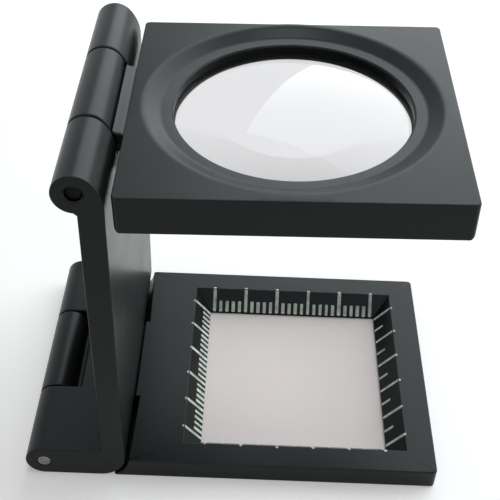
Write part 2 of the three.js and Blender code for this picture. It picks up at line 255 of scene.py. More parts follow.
class MAGNIFIER_PG_finish(bpy.types.PropertyGroup):
    """Colours and surfaces of the enamel, paint, steel and glass."""

    enamel: colour("Enamel", "Colour of the satin black enamel", (0.0060, 0.0072, 0.0064))
    # Pale enamel for the dust specks and for the pale edges, which are partly rubbed wear and partly a
    # painted edge highlight.
    enamel_worn: colour("Worn enamel", "Colour of the enamel on rubbed edges", (0.06, 0.065, 0.066))
    # How pale each part's edges are drawn: partly rubbed wear, partly a painted edge highlight.
    base_lit_wear: share("Base wear", "How much the base's edges are rubbed", 1.0)
    riser_lit_wear: share("Riser wear", "How much the riser's edges are rubbed", 0.15)
    lens_plate_lit_wear: share("Lens plate wear", "How much the lens plate's edges are rubbed", 0.2)
    enamel_roughness: share("Enamel roughness", "Roughness of the enamel", 0.31)
    enamel_shine: share("Enamel shine", "Specular level of the enamel", 0.2)
    enamel_tint: colour("Enamel reflection", "Tint of what the enamel reflects", (0.89, 0.965, 1.0))
    paint: colour("Paint", "Colour of the paint in the scale's lines", (0.71, 0.785, 0.71))
    paint_roughness: share("Paint roughness", "Middle roughness of the paint", 0.57)
    steel: colour("Steel", "Colour of the pins", (0.30, 0.295, 0.28))
    steel_roughness: share("Steel roughness", "Roughness of the pins", 0.42)
    # The upper pin's end is drawn this dark as painted shade in its countersunk recess.
    blackening: share("Blackening", "Brightness of the blackened upper pin against the lower one", 0.04)
    glass_tint: colour("Glass tint", "Tint of the lens", (0.745, 0.73, 0.735))
    glass_shine: share("Glass shine", "How much of its natural reflection the coated lens keeps", 0.08)
    glass_wiping: share("Glass wiping", "Roughness of the lens's wiping marks", 0.014)
    glass_index: bpy.props.FloatProperty(
        name="Glass index", description="Refractive index of the lens", default=1.52, min=1.0)
    ring: colour("Ring", "Colour of the retaining ring", (0.012, 0.012, 0.013))
    ring_roughness: share("Ring roughness", "Middle roughness of the retaining ring", 0.59)
    ring_shine: share("Ring shine", "Specular level of the retaining ring", 0.3)


class MAGNIFIER_PG_studio(bpy.types.PropertyGroup):
    """Floor, lamps and camera."""

    floor: colour("Floor", "Colour of the floor", (0.9, 0.9, 0.9))
    floor_glow: share("Floor glow", "How much the floor is lifted towards white where it is seen", 0.345)
    sheet: colour("Sheet", "Colour of the page under the window", (0.93, 0.885, 0.855))
    sheet_blush: colour("Sheet blush", "Colour of the faint clouds on that page", (0.95, 0.86, 0.85))
    floor_half_width: length("Floor half width", "From the middle of the floor to its edge", 1.5)
    floor_drop: length("Floor drop", "How far the floor lies below the object", 0.00003)
    page_drop: length("Page drop", "How far the page lies below the object", 0.00002)
    sky: bpy.props.FloatProperty(
        name="Sky", description="Strength of the even light", default=0.08, min=0.0)
    sky_tint: colour("Sky tint", "Colour of the even light", (0.93, 0.975, 1.0))
    key_power: bpy.props.FloatProperty(
        name="Key power", description="Power of the large lamp behind",
        default=3.6, min=0.0, unit="POWER")
    key_place: position("Key place", "Where the large lamp behind hangs", (0.304, 0.362, 0.369))
    key_aim: position("Key aim", "What the large lamp behind shines at", (0.0, 0.0, 0.03))
    key_width: length("Key width", "Width of the large lamp behind", 0.85)
    key_height: length("Key height", "Height of the large lamp behind", 0.5)
    key_tint: colour("Key tint", "Colour of the large lamp behind", (0.93, 0.975, 1.0))
    top_power: bpy.props.FloatProperty(
        name="Top power", description="Power of the lamp overhead",
        default=0.9, min=0.0, unit="POWER")
    top_place: position("Top place", "Where the lamp overhead hangs", (0.02, 0.02, 0.6))
    top_aim: position("Top aim", "What the lamp overhead shines at", (0.0, 0.0, 0.02))
    top_width: length("Top width", "Width of the square lamp overhead", 0.24)
    top_tint: colour("Top tint", "Colour of the lamp overhead", (1.0, 0.99, 0.97))
    focal_pixels: bpy.props.FloatProperty(
        name="Focal length", description="Focal length in pixels of the square image",
        default=999.2, min=1.0)
    camera_pitch: angle("Camera pitch", "How far the camera looks down", 41.481)
    camera_yaw: angle("Camera yaw", "How far the camera is turned to the right", 0.360)
    camera_roll: angle("Camera roll", "How far the camera is tilted sideways", 2.469)
    camera_place: position("Camera place", "Where the camera stands", (0.000713, -0.100794, 0.114497))


def sizes():
    return getattr(bpy.context.scene, SIZES_SCENE_NAME)


def finish():
    return getattr(bpy.context.scene, FINISH_SCENE_NAME)


def studio():
    return getattr(bpy.context.scene, STUDIO_SCENE_NAME)


# Outlines in a plane, as arrays of points, counter-clockwise.


def arc(centre, radius, start, end, steps):
    """Points of a circle: the centre plus the radius times the cosine and sine of even steps of angle."""
    turn = np.linspace(start, end, steps + 1)
    return np.stack([centre[0] + radius * np.cos(turn), centre[1] + radius * np.sin(turn)], axis=1)


def filleted(corners, radii, steps):
    """A closed outline whose corners are turned by arcs.

    Each arc starts before its corner by the radius times the tangent of half the turn, and the arm from
    the arc's centre to that start is turned through equal parts of the corner's angle.
    """
    corners = np.asarray(corners, dtype=float)
    radii = np.asarray(radii, dtype=float)
    before = corners - np.roll(corners, 1, axis=0)
    after = np.roll(corners, -1, axis=0) - corners
    before /= np.linalg.norm(before, axis=1)[:, None]
    after /= np.linalg.norm(after, axis=1)[:, None]
    crossed = before[:, 0] * after[:, 1] - before[:, 1] * after[:, 0]
    turn = np.arctan2(crossed, (before * after).sum(axis=1))
    start = corners - before * (radii * np.tan(np.abs(turn) / 2))[:, None]
    inward = np.sign(turn)[:, None] * np.stack([-before[:, 1], before[:, 0]], axis=1)
    arm = -inward * radii[:, None]
    centre = start - arm
    part = turn[:, None] * np.linspace(0, 1, steps + 1)
    x = centre[:, :1] + arm[:, :1] * np.cos(part) - arm[:, 1:] * np.sin(part)
    y = centre[:, 1:] + arm[:, :1] * np.sin(part) + arm[:, 1:] * np.cos(part)
    return without_repeats(np.stack([x, y], axis=2).reshape(-1, 2))


def without_repeats(points):
    """The points of a closed outline without those that lie on the one before."""
    apart = np.linalg.norm(points - np.roll(points, 1, axis=0), axis=1)
    return points[apart > CLOSEST]


def drawn_in(outline, distance):
    """A closed outline moved inwards: each point goes against its two edges' outward normals together.

    Their sum is divided by one plus the cosine of the angle between them, so both edges move by the
    distance.
    """
    edge = np.roll(outline, -1, axis=0) - outline
    edge /= np.linalg.norm(edge, axis=1)[:, None]
    normal_after = np.stack([edge[:, 1], -edge[:, 0]], axis=1)
    normal_before = np.roll(normal_after, 1, axis=0)
    both = normal_after + normal_before
    spread = 1 + (normal_after * normal_before).sum(axis=1)
    distance = np.broadcast_to(np.asarray(distance, dtype=float), (len(outline),))
    return outline - both / spread[:, None] * distance[:, None]


# Surfaces on a grid, put into meshes.


def surface(name, rows, close_rows=False, cap_ends=False, edge=None):
    """A mesh of the grid rows[i, j]: four neighbours are a face, and the last column joins the first.

    With close_rows the last row joins the first, and with cap_ends the first and last rows are filled
    flat. edge is a number for each point, 1 where it lies on an edge drawn pale, partly as wear and partly
    as a painted highlight, and 0 elsewhere.
    """
    count, width, _ = rows.shape
    index = np.arange(count * width).reshape(count, width)
    upper = np.roll(index, -1, axis=0) if close_rows else index[1:]
    lower = index if close_rows else index[:-1]
    corners = [lower, np.roll(lower, -1, axis=1), np.roll(upper, -1, axis=1), upper]
    faces = np.stack(corners, axis=2).reshape(-1, 4).tolist()
    if cap_ends:
        faces.append(index[0, ::-1].tolist())
        faces.append(index[-1].tolist())
    mesh = bpy.data.meshes.new(name)
    mesh.from_pydata(rows.reshape(-1, 3).tolist(), [], faces)
    mark(mesh, "worn_edge", np.broadcast_to(0.0 if edge is None else edge, (count, width)))
    tidy_mesh(mesh)
    return mesh


def mark(mesh, name, values):
    """Gives each point of a mesh its number, as an attribute that materials can read."""
    attribute = mesh.attributes.new(name, "FLOAT", "POINT")
    attribute.data.foreach_set("value", values.reshape(-1).astype(np.float32))


def tidy_mesh(mesh):
    """Merges points that coincide, drops faces without area and turns all faces outwards."""
    form = bmesh.new()
    form.from_mesh(mesh)
    bmesh.ops.remove_doubles(form, verts=form.verts, dist=2 * CLOSEST)
    bmesh.ops.dissolve_degenerate(form, dist=2 * CLOSEST, edges=form.edges)
    bmesh.ops.recalc_face_normals(form, faces=form.faces)
    form.to_mesh(mesh)
    form.free()


def shown(name, mesh, body, material, nodes, sharp_angle=SHARP_ANGLE):
    """The finished piece: smooth but for its sharp edges, riding on its body in place of its CAD nodes."""
    piece = bpy.data.objects.new(name, mesh)
    bpy.context.scene.collection.objects.link(piece)
    mesh.materials.clear()
    mesh.materials.append(material)
    mesh.polygons.foreach_set("use_smooth", np.ones(len(mesh.polygons), dtype=bool))
    mesh.set_sharp_from_angle(angle=math.radians(sharp_angle))
    weighted = piece.modifiers.new("Face weighted shading", "WEIGHTED_NORMAL")
    weighted.keep_sharp = True
    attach(piece, body)
    if nodes:
        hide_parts(*nodes)
    return piece


def carried(name, outline, half_length, end_round):
    """A side outline in X and Z carried straight along Y, its ends rounded by a quarter circle.

    At an angle from the end, the outline is drawn in by the radius times one less the sine, and lies
    inwards of the end by the radius times one less the cosine.
    """
    turn = np.linspace(0, math.pi / 2, EDGE_STEPS + 1)
    inset = end_round * (1 - np.sin(turn))
    along = half_length - end_round * (1 - np.cos(turn))
    insets = np.concatenate([inset, inset[::-1]])
    ys = np.concatenate([-along, along[::-1]])
    rows = np.stack([laid_at(drawn_in(outline, d), y) for d, y in zip(insets, ys)])
    # Pale mark along the rounded ends: partly wear, partly a painted edge highlight.
    lit_worn = np.concatenate([np.sin(2 * turn), np.sin(2 * turn)[::-1]])
    return surface(name, rows, cap_ends=True, edge=lit_worn[:, None])


def laid_at(outline, y):
    """Outline points in X and Z, placed at one Y."""
    return np.stack([outline[:, 0], np.full(len(outline), y), outline[:, 1]], axis=1)


def turned(profile, centre, steps):
    """A profile of radius and place along an axis, turned about that axis.

    Across the axis a point lies at the centre plus the radius times the cosine, and plus the radius times
    the sine, of even steps of angle. The result holds both and the place along the axis.
    """
    angles = np.linspace(0, 2 * math.pi, steps, endpoint=False)
    radius, along = profile[:, :1], profile[:, 1:]
    first = centre[0] + radius * np.cos(angles)
    second = centre[1] + radius * np.sin(angles)
    return first, second, np.broadcast_to(along, first.shape)


def turned_about_y(profile, x, z):
    """A profile of radius and Y turned about an axis along Y."""
    across, up, along = turned(profile, (x, z), ROUND_STEPS)
    return np.stack([across, along, up], axis=2)


def on_lens_plate(rows):
    """Points drawn about the upper pin, turned up by the rest angle and moved to the pin."""
    lift = sizes().rest_angle
    x, y, z = rows[..., 0], rows[..., 1], rows[..., 2]
    moved_x = UPPER_X + x * math.cos(lift) - z * math.sin(lift)
    moved_z = UPPER_Z + x * math.sin(lift) + z * math.cos(lift)
    return np.stack([moved_x, y, moved_z], axis=-1)


def with_hole(mesh, cutter_rows):
    """The mesh with a turned form cut out of it by an exact boolean, as a new mesh."""
    body = bpy.data.objects.new("hole_body", mesh)
    drill = bpy.data.objects.new("hole_drill", surface("hole_drill", cutter_rows, cap_ends=True))
    for piece in (body, drill):
        bpy.context.scene.collection.objects.link(piece)
    cut = body.modifiers.new("Hole", "BOOLEAN")
    cut.operation = "DIFFERENCE"
    cut.solver = "EXACT"
    cut.object = drill
    bored = bpy.data.meshes.new_from_object(body.evaluated_get(bpy.context.evaluated_depsgraph_get()))
    bpy.data.objects.remove(body)
    bpy.data.objects.remove(drill)
    return bored


def pin_hole(x, z, gap, mouth=0.0):
    """A drill along Y at x, z that passes right through, and widens by a mouth at the plate's faces."""
    past = HALF_DEPTH + BARREL_RADIUS
    radius = PIN_RADIUS + gap
    profile = [[radius, -past], [radius, past]]
    if mouth:
        wide, deep = radius + 2 * mouth, HALF_DEPTH - mouth
        profile = [[wide, -deep - 2 * mouth], [radius, -deep], [radius, deep], [wide, deep + 2 * mouth]]
    return turned_about_y(np.array(profile), x, z)


# Contours that run round a rectangle, one column to a point.


class Columns:
    """The columns of a plate's grid: places on the rectangle of corner centres, and outward directions."""

    def __init__(self):
        side = np.linspace(0, 1, SIDE_COLUMNS, endpoint=False)[1:]
        corner = np.linspace(0, math.pi / 2, CORNER_COLUMNS + 1)
        one, nil = np.ones(len(side)), np.zeros(len(side))
        at, no = np.ones(len(corner)), np.zeros(len(corner))
        self.across = np.concatenate([one, at, 1 - side, no, nil, no, side, at])
        self.along = np.concatenate([side, at, one, at, 1 - side, no, nil, no])
        quarters = np.arange(4) * math.pi / 2
        self.turn = np.concatenate([part + start for start in quarters for part in (nil, corner)])
        left_start = 2 * (len(side) + len(corner))
        self.left = slice(left_start, left_start + len(side))

    def contour(self, low_x, high_x, half_y, low_radius, high_radius):
        """A rectangle with rounded corners: the corner centre's place plus the radius along the direction.

        Each argument has a number to a row. The radius runs from one end's to the other's across X.
        """
        radius = low_radius * (1 - self.across) + high_radius * self.across
        low = (low_x + radius) * (1 - self.across)
        high = (high_x - radius) * self.across
        x = low + high + radius * np.cos(self.turn)
        y = (half_y - radius) * (2 * self.along - 1) + radius * np.sin(self.turn)
        return x, y


def quarter(radius, steps=EDGE_STEPS):
    """How far a rounded edge is drawn in and has risen, and how pale it is drawn, from foot to top; the
    paleness is partly wear and partly a painted edge highlight.
    """
    turn = np.linspace(0, math.pi / 2, steps + 1)
    return radius * (1 - np.cos(turn)), radius * np.sin(turn), np.sin(2 * turn)


# Base plate.


def window_places():
    """Places of the window: its centre, and its half widths at the lip and at the mouth."""
    s = sizes()
    clear = s.window_width / 2
    mouth = clear + s.bevel_run
    return BASE_HIGH.x - s.free_rim - mouth, clear, mouth


def hollow_x(gap, z):
    """The hollow that keeps a gap to the heel.

    It is the heel's centre plus the root of the radius with the gap squared less the height squared.
    """
    radius = sizes().heel_radius
    return RISER_HIGH.x - radius + np.sqrt((radius + gap) ** 2 - (z - radius) ** 2)


def base_plate_mesh():
    """The base plate as a square ring, whose section runs over the underside, edge, top, bevel and lip.

    The rows are the section's points and the columns run round the plate. Outer rows follow a rounded
    rectangle, whose left side is the hollow of the heel. Its gap widens evenly from the plate's ends to
    the knuckle, and is narrow at the knuckle itself. Inner rows follow the window's square.
    """
    s = sizes()
    window_x, clear, mouth = window_places()
    columns = Columns()
    inset, rise, bow = quarter(s.edge_round)
    top = s.plate_thickness
    middle = np.linspace(s.edge_round, top - s.edge_round, HOLLOW_POINTS)[1:-1]
    outer_inset = np.concatenate([inset[::-1], 0 * middle, inset])[:, None]
    outer_z = np.concatenate([s.edge_round - rise[::-1], middle, top - s.edge_round + rise])[:, None]
    # Pale marks on the top outer edge and round the window's mouth: partly wear, partly a painted edge
    # highlight.
    outer_lit_worn = np.concatenate([0 * bow, 0 * middle, BASE_EDGE_LIT_WEAR * bow])
    low_x = hollow_x(s.end_gap, outer_z) + outer_inset
    corner = np.maximum(s.corner_radius - outer_inset, s.edge_round * LEAST_CORNER_SHARE)
    x, y = columns.contour(
        low_x, BASE_HIGH.x - outer_inset, HALF_DEPTH - outer_inset, s.left_corner_round, corner)
    step_at = s.knuckle_length / 2
    beside = np.linspace(HALF_DEPTH - s.corner_radius, step_at + s.gap_step, BESIDE_KNUCKLE_POINTS)
    at_knuckle = np.linspace(step_at, -step_at, AT_KNUCKLE_POINTS)
    left_y = np.concatenate([beside, at_knuckle, -beside[::-1]])
    widening = s.riser_gap - s.end_gap
    gap = s.end_gap + widening * (HALF_DEPTH - np.abs(left_y)) / (HALF_DEPTH - step_at)
    gap = np.where(np.abs(left_y) <= step_at, s.middle_gap, gap)
    x[:, columns.left] = hollow_x(gap, outer_z) + outer_inset
    y[:, columns.left] = left_y
    outer = np.stack([x, y, np.broadcast_to(outer_z, x.shape)], axis=2)

    slope = math.atan2(top - s.window_lip, s.bevel_run)
    turn = np.linspace(0, slope, EDGE_STEPS + 1)
    reach = s.mouth_round * math.tan(slope / 2)
    mouth_half = mouth + reach - s.mouth_round * np.sin(turn)
    mouth_z = top - s.mouth_round * (1 - np.cos(turn))
    inner_half = np.concatenate([mouth_half, [clear, clear]])[:, None]
    inner_z = np.concatenate([mouth_z, [s.window_lip, 0.0]])[:, None]
    inner_lit_worn = np.concatenate([np.sin(np.linspace(0, math.pi, len(turn))), [0.0, 0.0]])
    x, y = columns.contour(window_x - inner_half, window_x + inner_half, inner_half, 0.0, 0.0)
    inner = np.stack([x, y, np.broadcast_to(inner_z, x.shape)], axis=2)
    lit_worn = np.concatenate([outer_lit_worn, inner_lit_worn])
    return surface("base_plate", np.concatenate([outer, inner]), close_rows=True, edge=lit_worn[:, None])


def lower_leaf_mesh():
    """The base's middle knuckle and its tongue: a round end with a flat strip below, carried along Y."""
    s = sizes()
    half = s.knuckle_length / 2
    end = RISER_HIGH.x + s.riser_gap + s.heel_radius
    tongue_top = LOWER_Z - s.lower_tongue_gap
    meets = math.asin((tongue_top - LOWER_Z) / BARREL_RADIUS)
    outline = np.concatenate([
        [[end, 0.0], [end, tongue_top]],
        arc((LOWER_X, LOWER_Z), BARREL_RADIUS, meets, math.pi * 3 / 2, KNUCKLE_STEPS),
    ])
    mesh = carried("base_knuckle", without_repeats(outline), half, s.knuckle_round)
    return with_hole(mesh, pin_hole(LOWER_X, LOWER_Z, s.running_gap))


# Lines of the scale.


def scale_mesh():
    """The painted lines: one strip carried up the bevel and over its edge, repeated round the window.

    A strip's path is its distance up the section, its crown the root of one less the place across squared,
    and each line is that strip moved along its side and turned about the window's centre.
    """
    s = sizes()
    window_x, clear, _ = window_places()
    slope_length = math.hypot(s.bevel_run, s.plate_thickness - s.window_lip)
    draw = np.random.default_rng(LINE_SEED)
    sheets = []
    fine, coarse = (s.fine_ticks, s.fine_tick_width), (s.coarse_ticks, s.coarse_tick_width)
    for side, (per_division, tick_width) in enumerate((fine, fine, coarse, coarse)):
        turn = side * math.pi / 2
        count = s.divisions * per_division
        places = np.arange(count + 1)
        is_long = places % per_division == 0
        long_lines = (places[is_long], slope_length + s.tick_break)
        short_lines = (places[~is_long], s.short_tick)
        for chosen, mean_length in (long_lines, short_lines):
            along = s.division * s.divisions * (chosen / count - 0.5)
            line_length = mean_length * (1 + draw.normal(0, LINE_LENGTH_SPREAD, len(chosen)))
            width = tick_width * (1 + draw.normal(0, LINE_WIDTH_SPREAD, len(chosen)))
            sheets.append(lines(along, line_length, width, turn, slope_length, window_x, clear))
    # Each line is drawn lighter near its foot: a painted highlight.
    return strips("scale_lines", np.concatenate(sheets), np.clip(1 - LINE_STEPS / s.highlighted_foot, 0, 1))


def lines(along, line_length, width, turn, slope_length, window_x, clear):
    """Grid points of several painted lines, by line, step up the path and point round the section."""
    s = sizes()
    slope = math.atan2(s.plate_thickness - s.window_lip, s.bevel_run)
    swell = np.sqrt(np.clip(1 - np.abs(2 * LINE_STEPS - 1) ** LINE_END_POWER, 0, 1))
    distance = line_length[:, None] * LINE_STEPS
    over = np.clip((distance - slope_length) / s.mouth_round, 0, 1)
    tilt = slope * (1 - over)
    on_slope = np.minimum(distance, slope_length)
    past = np.maximum(distance - slope_length, 0)
    out = clear + on_slope * math.cos(slope) + past
    up = s.window_lip + on_slope * math.sin(slope)
    across = np.concatenate([LINE_ACROSS, [1.0, -1.0]])
    crown = s.tick_crown * np.sqrt(1 - LINE_ACROSS ** 2)
    height = np.concatenate([crown, [-s.tick_depth, -s.tick_depth]])
    side = along[:, None, None] + 0.5 * width[:, None, None] * across * swell[:, None]
    lift = height * np.maximum(swell, LEAST_SWELL)[:, None]
    y = out[..., None] - lift * np.sin(tilt)[..., None]
    z = up[..., None] + lift * np.cos(tilt)[..., None]
    x = np.broadcast_to(side, y.shape)
    turned_x = window_x + x * math.cos(turn) - y * math.sin(turn)
    turned_y = x * math.sin(turn) + y * math.cos(turn)
    return np.stack([turned_x, turned_y, z], axis=-1)


def strips(name, rows, lighter):
    """A mesh of many closed strips: rows[k, i, j] is point j round step i of strip k.

    Both ends are filled. lighter is a number for each step, which says how much lighter the paint is drawn
    there: a painted highlight at the line's foot.
    """
    count, steps, width, _ = rows.shape
    index = np.arange(count * steps * width).reshape(count, steps, width)
    lower, upper = index[:, :-1], index[:, 1:]
    sides = np.stack([lower, np.roll(lower, -1, axis=2), np.roll(upper, -1, axis=2), upper], axis=3)
    mesh = bpy.data.meshes.new(name)
    ends = index[:, 0, ::-1].tolist() + index[:, -1].tolist()
    mesh.from_pydata(rows.reshape(-1, 3).tolist(), [], sides.reshape(-1, 4).tolist() + ends)
    mark(mesh, "thick_paint", np.broadcast_to(lighter[:, None], (count, steps, width)))
    tidy_mesh(mesh)
    return mesh


# Riser.


def riser_places():
    """Places of the riser: its inner and outer face, its upper bay's floor and its lower bay's wall."""
    s = sizes()
    inner = RISER_HIGH.x
    floor_z = UPPER_Z - BARREL_RADIUS - s.knuckle_floor_gap
    return inner, inner - s.riser_thickness, floor_z, LOWER_X + BARREL_RADIUS + s.notch_gap


def riser_outline():
    """The riser's side: foot, heel, upright, shoulder, barrel and the round end of the foot.

    The shoulder is one arc that touches the inner face and the barrel, so its radius is what the face's
    distance exceeds the barrel's reach by, divided by one less the cosine of the lean.
    """
    s = sizes()
    inner, outer, floor_z, wall = riser_places()
    heel = (inner - s.heel_radius, s.heel_radius)
    foot_top = 2 * BARREL_RADIUS
    lean = s.shoulder_lean
    meets = math.acos((UPPER_X - outer) / BARREL_RADIUS)
    bend = (inner - UPPER_X - BARREL_RADIUS * math.cos(lean)) / (1 - math.cos(lean))
    bend_centre = (inner - bend, UPPER_Z - (bend - BARREL_RADIUS) * math.sin(lean))
    shoulder = arc(bend_centre, bend, 0, lean, SHOULDER_STEPS)[:-1]
    across = np.linspace(outer, LOWER_X, FOOT_TOP_STEPS)[1:-1]
    top_run = np.stack([across, np.full(len(across), foot_top)], axis=1)
    top_run = np.concatenate([
        top_run[top_run[:, 0] > wall + s.notch_chamfer],
        [[wall + s.notch_chamfer, foot_top], [wall, foot_top]],
        top_run[top_run[:, 0] < wall]])
    below = np.linspace(LOWER_X, heel[0], SOLE_STEPS)[1:-1]
    bottom_run = np.stack([below, np.zeros(len(below))], axis=1)
    bottom_run = np.concatenate([
        bottom_run[bottom_run[:, 0] < wall], [[wall, 0.0]], bottom_run[bottom_run[:, 0] > wall]])
    return without_repeats(np.concatenate([
        bottom_run,
        arc(heel, s.heel_radius, -math.pi / 2, 0, HEEL_STEPS),
        [[inner, floor_z]],
        shoulder,
        arc((UPPER_X, UPPER_Z), BARREL_RADIUS, lean, 2 * math.pi - meets, BARREL_STEPS),
        [[outer, floor_z], [outer, foot_top]],
        top_run,
        arc((LOWER_X, LOWER_Z), BARREL_RADIUS, math.pi / 2, math.pi * 3 / 2, FOOT_END_STEPS),
    ]))


def riser_mesh():
    """The riser: its outline carried along Y, pulled back to the walls of its two bays in the middle.

    In the upper bay a point above the floor drops to it, kept within the plate's thickness. In the lower
    bay a point goes no further out than the bay's wall and no lower than the tongue's way. Each bay's side
    wall is filled by a row half way, whose points lie straight above or beside the ones they drop to.
    """
    s = sizes()
    outline = riser_outline()
    inner, outer, floor_z, wall = riser_places()
    half_bay = s.knuckle_length / 2 + s.knuckle_gap
    x, z = outline[:, 0], outline[:, 1]
    high = z > floor_z
    low = z <= 2 * BARREL_RADIUS
    way = low & (z < LOWER_Z)
    half_x = np.where(high, np.clip(x, outer, inner), x)
    half_z = np.where(high, np.minimum(z, UPPER_Z), z)
    foot_x = np.where(low & (x < wall), wall, half_x)
    foot_z = np.where(way, LOWER_Z, half_z)
    chamfered = low & (x <= wall + s.notch_chamfer) & (z > LOWER_Z)
    drop = np.clip(1 - (x - wall) / s.notch_chamfer, 0, 1) * s.notch_chamfer
    foot_z = np.where(chamfered, np.minimum(foot_z, 2 * BARREL_RADIUS - drop), foot_z)
    half_way = np.stack([foot_x, foot_z], axis=1)
    pulled = np.stack([foot_x, np.where(high, floor_z, foot_z)], axis=1)
    changed = (np.abs(pulled - outline).max(axis=1) > CLOSEST).astype(float)
    turn = np.linspace(0, math.pi / 2, EDGE_STEPS + 1)
    rounding = list(zip(1 - np.sin(turn), 1 - np.cos(turn), np.sin(2 * turn)))
    # Pale marks on the rounded ends and the bays' edges: partly wear, partly a painted edge highlight.
    rows, lit_worn = [], []
    for inset, along, bow in rounding:
        form = drawn_in(outline, inset * s.edge_round)
        rows.append(laid_at(form, along * s.edge_round - HALF_DEPTH))
        lit_worn.append(np.full(len(outline), bow))
    for inset, along, bow in reversed(rounding):
        form = drawn_in(outline, inset * s.knuckle_round * changed)
        rows.append(laid_at(form, -half_bay - along * s.knuckle_round))
        lit_worn.append(bow * changed)
    for form in (half_way, pulled):
        rows.append(laid_at(form, -half_bay))
        lit_worn.append(np.zeros(len(outline)))
    front = np.stack(rows)
    back = front[::-1] * np.array([1, -1, 1])
    lit_worn = np.concatenate([np.stack(lit_worn), np.stack(lit_worn)[::-1]])
    mesh = surface("riser", np.concatenate([front, back]), cap_ends=True, edge=lit_worn)
    mesh = with_hole(mesh, pin_hole(LOWER_X, LOWER_Z, s.pin_gap))
    return with_hole(mesh, pin_hole(UPPER_X, UPPER_Z, s.pin_gap, s.pin_mouth))


# Pins.


def pin_mesh(name, x, z, end):
    """A drawn pin along Y: a straight wire with ends rounded by quarter circles and closed by flats."""
    s = sizes()
    inset, rise, _ = quarter(s.pin_end_round, FINE_EDGE_STEPS)
    radius = np.concatenate([PIN_RADIUS - inset[::-1], PIN_RADIUS - inset])
    y = np.concatenate([s.pin_end_round - rise[::-1] - end, end - s.pin_end_round + rise])
    return surface(name, turned_about_y(np.stack([radius, y], axis=1), x, z), cap_ends=True)


# Lens plate.


def dish_profile():
    """The section of the lens plate from the flat top inwards: slope, floor, bore, seat and underside."""
    s = sizes()
    top = -s.lens_plate_drop
    bottom = top - s.lens_plate_thickness
    bore = LENS_RADIUS - s.seat_width
    floor_radius = bore + s.dish_floor
    dish_radius = floor_radius + s.dish_slope
    floor_z = top - s.dish_depth
    bore_z = floor_z - s.dish_fall
    seat_z = top - s.seat_depth
    seat_radius = LENS_RADIUS + s.lens_side_gap
    outside = dish_radius + s.dish_slope
    corners = [
        (outside, bottom), (outside, top), (dish_radius, top), (floor_radius, floor_z),
        (bore + s.bore_chamfer, bore_z), (bore, bore_z - s.bore_chamfer),
        (bore, seat_z), (seat_radius, seat_z), (seat_radius, bottom)]
    fine = s.bore_chamfer * BORE_MOUTH_SHARE
    radii = [0, 0, s.dish_round, s.dish_round * DISH_FLOOR_SHARE, fine, fine, 0, 0, 0]
    path = filleted(corners, radii, FILLET_STEPS)
    return path[outside - path[:, 0] > CLOSEST]


def lens_plate_mesh():
    """The lens plate: rows run from the underside over the rounded edges and the top to the dish and bore.

    Outer rows follow a rounded rectangle, drawn in at the edges by a quarter circle, which is larger below
    at the plate's ends. Inner rows are circles about the lens's axis, each point at the same angle as the
    outer point of its column.
    """
    s = sizes()
    columns = Columns()
    top = -s.lens_plate_drop
    bottom = top - s.lens_plate_thickness
    start = s.lens_plate_start
    end = start + s.lens_plate_length
    centre_x = (start + end) / 2
    inset, rise, bow = quarter(s.edge_round, FINE_EDGE_STEPS)
    end_inset, _, _ = quarter(s.lens_edge_round, FINE_EDGE_STEPS)
    at_end = np.cos(columns.turn) ** 2
    low_inset = end_inset[::-1, None] * at_end + inset[::-1, None] * (1 - at_end)
    low_round = s.lens_edge_round * at_end + s.edge_round * (1 - at_end)
    low_z = bottom + low_round - np.sqrt(np.maximum(low_round ** 2 - (low_round - low_inset) ** 2, 0))
    every = np.ones(len(columns.turn))
    outer_inset = np.concatenate([low_inset, inset[:, None] * every])
    outer_z = np.concatenate([low_z, (top - s.edge_round + rise)[:, None] * every])
    corner = np.maximum(s.corner_radius - outer_inset, s.edge_round * LEAST_CORNER_SHARE)
    x, y = columns.contour(
        start + outer_inset, end - outer_inset, HALF_DEPTH - outer_inset, corner, corner)
    outer = np.stack([x, y, outer_z], axis=2)

    profile = dish_profile()
    radius, height = profile[:, :1], profile[:, 1:]
    bearing = np.arctan2(y[-1] - LENS_SETBACK, x[-1] - centre_x)
    x = centre_x + radius * np.cos(bearing)
    y = LENS_SETBACK + radius * np.sin(bearing)
    inner = np.stack([x, y, np.broadcast_to(height, x.shape)], axis=2)
    bore = LENS_RADIUS - s.seat_width
    near_bore = radius < bore + BORE_LIT_WEAR_REACH * s.bore_chamfer
    at_mouth = near_bore & (height > top - s.dish_depth - BORE_LIT_WEAR_DEPTH * s.bore_chamfer)
    # Pale marks on the plate's edges and the bore's mouth: partly wear, partly a painted edge highlight.
    lit_worn = np.concatenate([
        LENS_PLATE_FOOT_LIT_WEAR * bow[::-1], bow, BORE_EDGE_LIT_WEAR * at_mouth[:, 0]])
    rows = on_lens_plate(np.concatenate([outer, inner]))
    return surface("lens_plate", rows, close_rows=True, edge=lit_worn[:, None])


